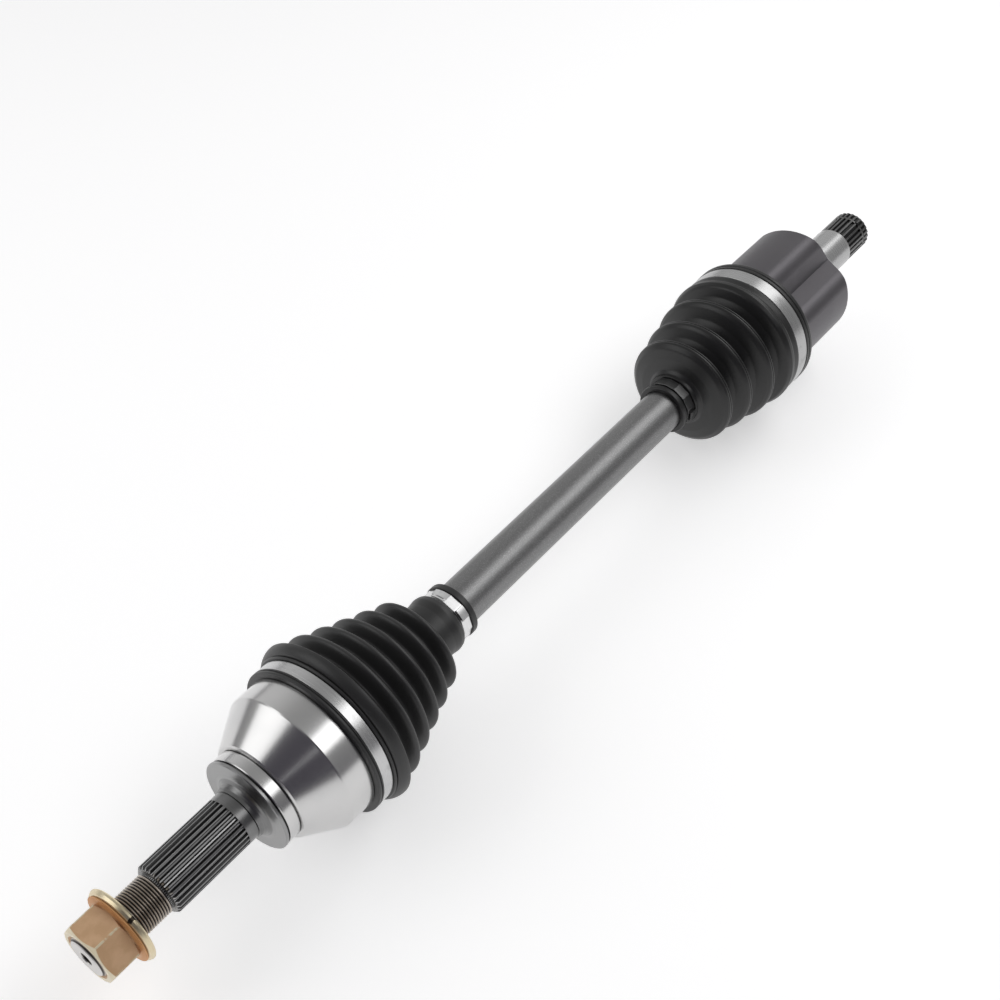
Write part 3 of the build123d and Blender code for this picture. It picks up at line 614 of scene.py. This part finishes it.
def make_hub_boot():
    """Hub boot in four slices, in place of the hidden CAD boot."""
    black = rubber("hub_boot_rubber", 0.021, 0.030, 0.40)
    skin = hub_skin()
    inside = lining(skin, hub_bore)
    start, end = HUB_BOOT_X
    bend_start, bend_end = HUB_BEND_X
    crest = HUB_CRESTS[0][0]
    valley_2, valley_4 = (HUB_CRESTS[i][0] + HUB_PITCH * FOLD_BACK for i in (1, 3))
    folds_1, folds_2 = (crest, valley_2), (valley_2, valley_4)
    slices = [
        ("hub_boot_cuff", (start, crest), ("hub_end", "bottom_ball"), (bend_start, crest)),
        ("hub_boot_folds_1", folds_1, ("bottom_ball", "cage_and_balls"), folds_1),
        ("hub_boot_folds_2", folds_2, ("cage_and_balls", "top_ball"), folds_2),
        ("hub_boot_neck", (valley_4, end), ("top_ball", "axle_shaft"), (valley_4, bend_end))]
    pieces = [boot_slice(skin, inside, black, *row) for row in slices]
    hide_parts("outboard_boot")


def make_gearbox_boot():
    """Gearbox boot in three slices, in place of the hidden CAD boot."""
    black = rubber("gearbox_boot_rubber", 0.010, 0.015, 0.35)
    skin = gearbox_skin()
    inside = lining(skin, gearbox_bore)
    start, end = GEARBOX_BOOT_X
    bend_start, bend_end = GEARBOX_BEND_X
    valley, groove = GEARBOX_FOLD_X
    fold = (valley, groove)
    slices = [
        ("gearbox_boot_neck", (start, valley), ("axle_shaft", "needles_1"), (bend_start, valley)),
        ("gearbox_boot_fold", fold, ("needles_1", "gearbox_boot"), fold),
        ("gearbox_boot_cuff", (groove, end), ("gearbox_boot", "gearbox_end"), (groove, bend_end))]
    pieces = [boot_slice(skin, inside, black, *row) for row in slices]
    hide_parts("inboard_boot")


# ---- Clamps ------------------------------------------------------------------------
def swept_strip(name, path, x_range, thickness, material, bevel=0.15):
    """Flat strip that follows a closed (y, z) path of its outside, with softened edges."""
    x0, x1 = x_range
    section = [
        (x0 + bevel, 0), (x1 - bevel, 0), (x1, -bevel), (x1, bevel - thickness), (x1 - bevel, -thickness),
        (x0 + bevel, -thickness), (x0, bevel - thickness), (x0, -bevel)]
    path = np.array(path, float)
    along = np.roll(path, -1, 0) - np.roll(path, 1, 0)
    along /= np.linalg.norm(along, axis=1)[:, None]
    outward = np.stack([along[:, 1], -along[:, 0]], 1)
    points = []
    for p, n in zip(path, outward):
        points += [(x, *(p + n * h)) for x, h in section]
    return mesh_object(name, points, loop_faces(len(path), len(section)), material, 30.0)


def polar(radius, degrees):
    """(y, z) point at a radius and an angle from +Y towards +Z."""
    a = math.radians(degrees)
    return (radius * math.cos(a), radius * math.sin(a))


def corner_cut(points, share=0.2):
    """Closed path with each corner cut once, which rounds it a little."""
    out = []
    for p, q in zip(points, points[1:] + points[:1]):
        p, q = np.array(p), np.array(q)
        out += [tuple(p + (q - p) * share), tuple(q + (p - q) * share)]
    return out


EAR_PROFILE = [               # (along the band, height) of a pinched ear, in millimetres
    (-5.2, 0.0), (-3.7, 0.1), (-2.9, 0.8), (-3.3, 2.2), (-3.2, 3.2), (-2.3, 3.8), (-1.1, 3.6), (0.0, 3.1),
    (1.1, 3.6), (2.3, 3.8), (3.2, 3.2), (3.3, 2.2), (2.9, 0.8), (3.7, 0.1), (5.2, 0.0)]


def eared_band(name, x_range, radius, ear_angle, thickness, material):
    """Round band with a pinched ear, over a plain inner turn."""
    half = math.degrees(EAR_PROFILE[-1][0] / radius)
    ear = [polar(radius + h, ear_angle + math.degrees(s / radius)) for s, h in EAR_PROFILE]
    rest = 360 - 2 * half
    count = 150
    band = [polar(radius, ear_angle + half + rest * i / count) for i in range(1, count)]
    outer = swept_strip(name, corner_cut(ear + band), x_range, thickness, material)
    under = [polar(radius - thickness - 0.02, 360 * i / AROUND) for i in range(AROUND)]
    inner_x = (x_range[0] + 0.25, x_range[1] - 0.25)
    inner = swept_strip(name + "_inner_turn", under, inner_x, 0.45, material)
    return [outer, inner]


def flat_band(name, x_range, corners, radius, thickness, material):
    """Band pressed into flats between corner angles."""
    path = []
    for a, b in zip(corners, corners[1:] + [corners[0] + 360]):
        p, q = np.array(polar(radius, a)), np.array(polar(radius, b))
        path += [tuple(p + (q - p) * t) for t in (0.0, 0.08, 0.3, 0.5, 0.7, 0.92)]
    return swept_strip(name, corner_cut(path, 0.25), x_range, thickness, material)


def raised_strip(name, x_range, angles, base_r, height, thickness, material):
    """Short strip lifted off a band, with turned-down ends."""
    a0, a1 = angles
    lift = 1.1
    top = base_r + height
    outer = [polar(base_r - 0.4, a0), polar(top, a0 + lift)]
    outer += [polar(top, a0 + lift + (a1 - a0 - 2 * lift) * t / 6) for t in range(1, 6)]
    outer += [polar(top, a1 - lift), polar(base_r - 0.4, a1)]
    inner = [polar(base_r - 0.4, a1 - 2 * lift)]
    inner += [polar(top - thickness, a1 - 2 * lift - (a1 - a0 - 4 * lift) * t / 6) for t in range(0, 7)]
    inner += [polar(base_r - 0.4, a0 + 2 * lift)]
    ring = outer + inner
    points = [(x, y, z) for x in x_range for y, z in ring]
    size = len(ring)
    faces = [(j, (j + 1) % size, size + (j + 1) % size, size + j) for j in range(size)]
    count = len(outer)
    for j in range(min(count, size - count) - 1):
        a, b, c, d = j, j + 1, size - 2 - j, size - 1 - j
        faces += [(a, d, c, b), (size + a, size + b, size + c, size + d)]
    return mesh_object(name, points, faces, material, 30.0)


BAND = 0.6                    # thickness of every clamp's band
HIDDEN_EAR = -35.0            # angle of the large clamps' ears, out of the photograph's view
HUB_CORNERS = [66, 95, 123, 150, 178, 208, 238, 268, 298, 328, 357, 390]
GEARBOX_CORNERS = [58, 82, 105, 134, 162, 192, 222, 252, 282, 312, 342, 370]


def make_clamps():
    """Two round large bands with a pinched ear each, and two faceted small bands with raised strips."""
    bright = strip_steel("clamp_bright", 0.46, 0.62, 0.20)
    wear_and_corner_highlight = strip_steel("clamp_worn", 0.34, 0.48, 0.22)
    zinc = strip_steel("clamp_zinc", 0.66, 0.84, 0.26)
    dark = strip_steel("clamp_dark", 0.10, 0.20, 0.30)
    hub_large = eared_band("hub_large_clamp", (52.0, 58.6), 47.3, HIDDEN_EAR, BAND, bright)
    gearbox_large = eared_band("gearbox_large_clamp", (464.5, 474.5), 46.95, HIDDEN_EAR, BAND, wear_and_corner_highlight)
    hub_small = [flat_band("hub_small_clamp", (154.5, 161.0), HUB_CORNERS, 16.75, BAND, zinc)]
    raised = (
        ("ear", (155.2, 160.4), (123, 147), 1.5, 0.5),
        ("hook", (154.7, 155.8), (62, 95), 0.7, 0.4),
        ("tongue", (156.5, 160.6), (58, 96), 0.6, 0.4))
    for part, x_range, angles, height, thickness in raised:
        name = f"hub_small_clamp_{part}"
        hub_small.append(raised_strip(name, x_range, angles, 16.4, height, thickness, zinc))
    gearbox_small = [flat_band("gearbox_small_clamp", (378.8, 385.6), GEARBOX_CORNERS, 17.35, BAND, dark)]
    ear = raised_strip("gearbox_small_clamp_ear", (379.5, 385.0), (168, 190), 17.0, 1.5, 0.5, dark)
    gearbox_small.append(ear)
    groups = [
        (hub_large, "hub_end", "outboard_large_clamp", "clamp_steel"),
        (gearbox_large, "gearbox_end", "inboard_large_clamp", "clamp_steel"),
        (hub_small, "axle_shaft", "outboard_small_clamp", "clamp_steel"),
        (gearbox_small, "axle_shaft", "inboard_small_clamp", "dark_clamp")]
    for pieces, body, node, slot in groups:
        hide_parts(node)
        for piece in pieces:
            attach(piece, body)


# ---- Carried-over CAD nodes --------------------------------------------------------
def dress(name, material):
    """Give a CAD node its finish."""
    mesh = nodes[name].data
    mesh.materials.clear()
    mesh.materials.append(material)


def dress_nodes():
    """Every CAD node that stays in view."""
    dress("outboard_housing", hub_forging())
    dress("inboard_housing", gearbox_forging())
    dress("axle_bar", bar_finish())
    dress("axle_nut", plated_nut())
    dress("axle_nut_washer", washer_finish())
    dress("boot_adapter", rubber("adapter_rubber", 0.03, 0.05, 0.6))
    hardened = plain_steel("hardened_steel", 0.42, 0.55, 0.24)
    polished = plain_steel("bearing_steel", 0.70, 0.80, 0.08)
    spring = plain_steel("spring_steel", 0.10, 0.18, 0.30)
    numbered = (("roller", polished, "bearing_steel"), ("roller_retainer", spring, "spring_steel"),
                ("needle_set", polished, "bearing_steel"), ("retainer_circlip", spring, "spring_steel"))
    for stem, material, slot in numbered:
        for i in (1, 2, 3):
            dress(f"{stem}_{i}", material)
    for i in range(1, 7):
        dress(f"ball_{i}", polished)
    for name in ("outboard_inner_race", "ball_cage", "tripod_spider"):
        dress(name, hardened)
    for name in ("inner_race_circlip", "inner_race_stop_ring", "spider_inner_circlip",
                 "spider_outer_circlip", "stub_retaining_ring"):
        dress(name, spring)


# ---- Stage, light and camera -------------------------------------------------------
AWAY = Vector((0.785, 0.620, 0.0))       # level direction in which the camera looks
RIGHT = Vector((0.620, -0.785, 0.0))
MIDDLE = Vector((0.25, 0.0, 0.0))
ROOM_TOP = (0.36, 0.36, 0.36)
ROOM_AHEAD = (0.70, 0.70, 0.70)
ROOM_BEHIND = (0.085, 0.080, 0.095)
ROOM_HORIZON = (0.16, 0.155, 0.165)
FLOOR_GLOW = 0.45            # the floor is a light table, so that shadows stay pale
FLOOR_HALF = 6.0
FLOOR_GAP = 0.0004
CAMERA_PLACE = (-0.2431, -0.3556, 0.6555)
CAMERA_LOOK = Vector((0.5416, 0.4279, -0.7236))
CAMERA_LENS = 54.05
SENSOR_WIDTH = 36.0


def make_floor():
    """Plain pale floor under the lowest point."""
    s = Shader("floor_paint", roughness=0.7, specular=0.2)
    cloud = s.noise(1.5, 3.0)
    s.put("Base Color", s.mix(cloud, grey(0.90), grey(0.93)))
    s.put("Emission Color", grey(1.0))
    s.put("Emission Strength", FLOOR_GLOW)
    level = cad_box[0].z - FLOOR_GAP
    mesh = bpy.data.meshes.new("floor")
    signs = ((-1, -1), (1, -1), (1, 1), (-1, 1))
    corners = [(MIDDLE.x + a * FLOOR_HALF, MIDDLE.y + b * FLOOR_HALF, level) for a, b in signs]
    mesh.from_pydata(corners, [], [(0, 1, 2, 3)])
    mesh.materials.append(s.material)
    floor = bpy.data.objects.new("floor", mesh)
    bpy.context.scene.collection.objects.link(floor)


def softbox(name, away, right, height, size, power, aim_away=0.0, aim_right=0.0):
    """Rectangular light placed and aimed in the camera's level directions; size is (away, across)."""
    light = bpy.data.lights.new(name, "AREA")
    light.shape = "RECTANGLE"
    light.size, light.size_y = size
    light.energy = power
    lamp = bpy.data.objects.new(name, light)
    lamp.location = MIDDLE + AWAY * away + RIGHT * right + Vector((0, 0, height))
    target = MIDDLE + AWAY * aim_away + RIGHT * aim_right
    lamp.rotation_mode = "QUATERNION"
    look = (target - lamp.location).normalized()
    z_axis = -look
    x_axis = (AWAY - z_axis * AWAY.dot(z_axis)).normalized()
    y_axis = z_axis.cross(x_axis)
    lamp.rotation_quaternion = Matrix((x_axis, y_axis, z_axis)).transposed().to_quaternion()
    bpy.context.scene.collection.objects.link(lamp)


def make_world():
    """Grey room: darker behind the camera and along the horizon, lighter far ahead."""
    world = bpy.data.worlds.new("room")
    bpy.context.scene.world = world
    world.use_nodes = True
    tree = world.node_tree
    tree.nodes.clear()
    new, join = tree.nodes.new, tree.links.new
    place = new("ShaderNodeTexCoord").outputs["Generated"]

    def share(direction, low, high):
        """How far each way of looking leans towards a direction, from 0 to 1."""
        dot = new("ShaderNodeVectorMath")
        dot.operation = "DOT_PRODUCT"
        dot.inputs[1].default_value = direction
        span = new("ShaderNodeMapRange")
        span.interpolation_type = "SMOOTHSTEP"
        span.inputs["From Min"].default_value = low
        span.inputs["From Max"].default_value = high
        join(place, dot.inputs[0])
        join(dot.outputs["Value"], span.inputs["Value"])
        return span.outputs[0]

    def mixed(factor, a, b):
        """Mix of two colours, each a fixed colour or another node's output."""
        blend = new("ShaderNodeMix")
        blend.data_type = "RGBA"
        join(factor, blend.inputs[0])
        for socket, colour in ((blend.inputs[6], a), (blend.inputs[7], b)):
            if isinstance(colour, tuple):
                socket.default_value = (*colour, 1.0)
            else:
                join(colour, socket)
        return blend.outputs[2]

    room = mixed(share(AWAY, 0.45, 0.85), ROOM_TOP, ROOM_AHEAD)
    room = mixed(share(-AWAY, 0.10, 0.50), room, ROOM_BEHIND)
    room = mixed(share(Vector((0, 0, 1)), 0.0, 0.14), ROOM_HORIZON, room)
    sky = new("ShaderNodeBackground")
    join(room, sky.inputs["Color"])
    join(sky.outputs[0], new("ShaderNodeOutputWorld").inputs["Surface"])


def make_camera():
    """Camera at the photograph's place: 46 degrees down, across the bar from the hub end."""
    data = bpy.data.cameras.new("camera")
    data.lens = CAMERA_LENS
    data.sensor_width = SENSOR_WIDTH
    data.clip_end = 100.0
    camera = bpy.data.objects.new("camera", data)
    camera.location = CAMERA_PLACE
    camera.rotation_mode = "QUATERNION"
    camera.rotation_quaternion = CAMERA_LOOK.to_track_quat("-Z", "Y")
    bpy.context.scene.collection.objects.link(camera)
    bpy.context.scene.camera = camera


def make_lights():
    """A broad softbox on the left, a long strip light on the right and a weak fill from behind."""
    softbox("left_softbox", -0.17, -1.30, 0.92, (1.1, 1.0), 4.6, aim_away=-0.17, aim_right=-0.13)
    softbox("right_strip", 0.22, 0.74, 0.96, (1.5, 0.55), 5.4)
    softbox("rear_fill", -1.75, -0.13, 1.22, (0.30, 0.16), 0.09, aim_away=-0.17, aim_right=-0.13)
    bpy.context.scene.view_settings.view_transform = "Standard"


make_hub_boot()
make_gearbox_boot()
make_clamps()
dress_nodes()
make_floor()
make_world()
make_lights()
make_camera()
